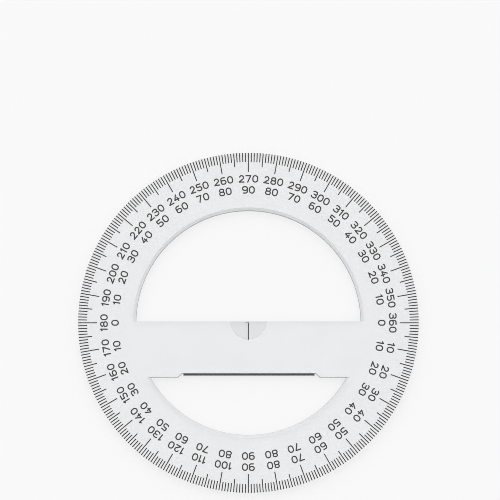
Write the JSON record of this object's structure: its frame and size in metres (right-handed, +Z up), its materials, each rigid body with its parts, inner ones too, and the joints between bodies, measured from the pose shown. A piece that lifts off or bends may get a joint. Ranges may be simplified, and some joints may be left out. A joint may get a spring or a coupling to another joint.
{
  "type": "protractor",
  "caption": "Full-circle protractor: a clear plastic ring with one crossbar, printed with degree lines and two rings of numerals, for measuring and drawing angles.",
  "frame": {"origin": "centre of the degree circle, on the surface that the protractor lies on", "axes": "+X towards 0 and 360 degrees, +Y towards 270 degrees, +Z up out of the plate towards the user's eye"},
  "size_m": [0.12, 0.12, 0.0028],
  "materials": {
    "clear_plastic": "clear polished polystyrene",
    "ink": "black printing ink"
  },
  "bodies": {
    "root": {"clear_body": "clear_plastic", "one_degree_marks": "ink", "five_degree_marks": "ink", "ten_degree_marks": "ink", "outer_numerals": "ink", "inner_numerals": "ink", "centre_mark": "ink"}
  },
  "joints": []
}
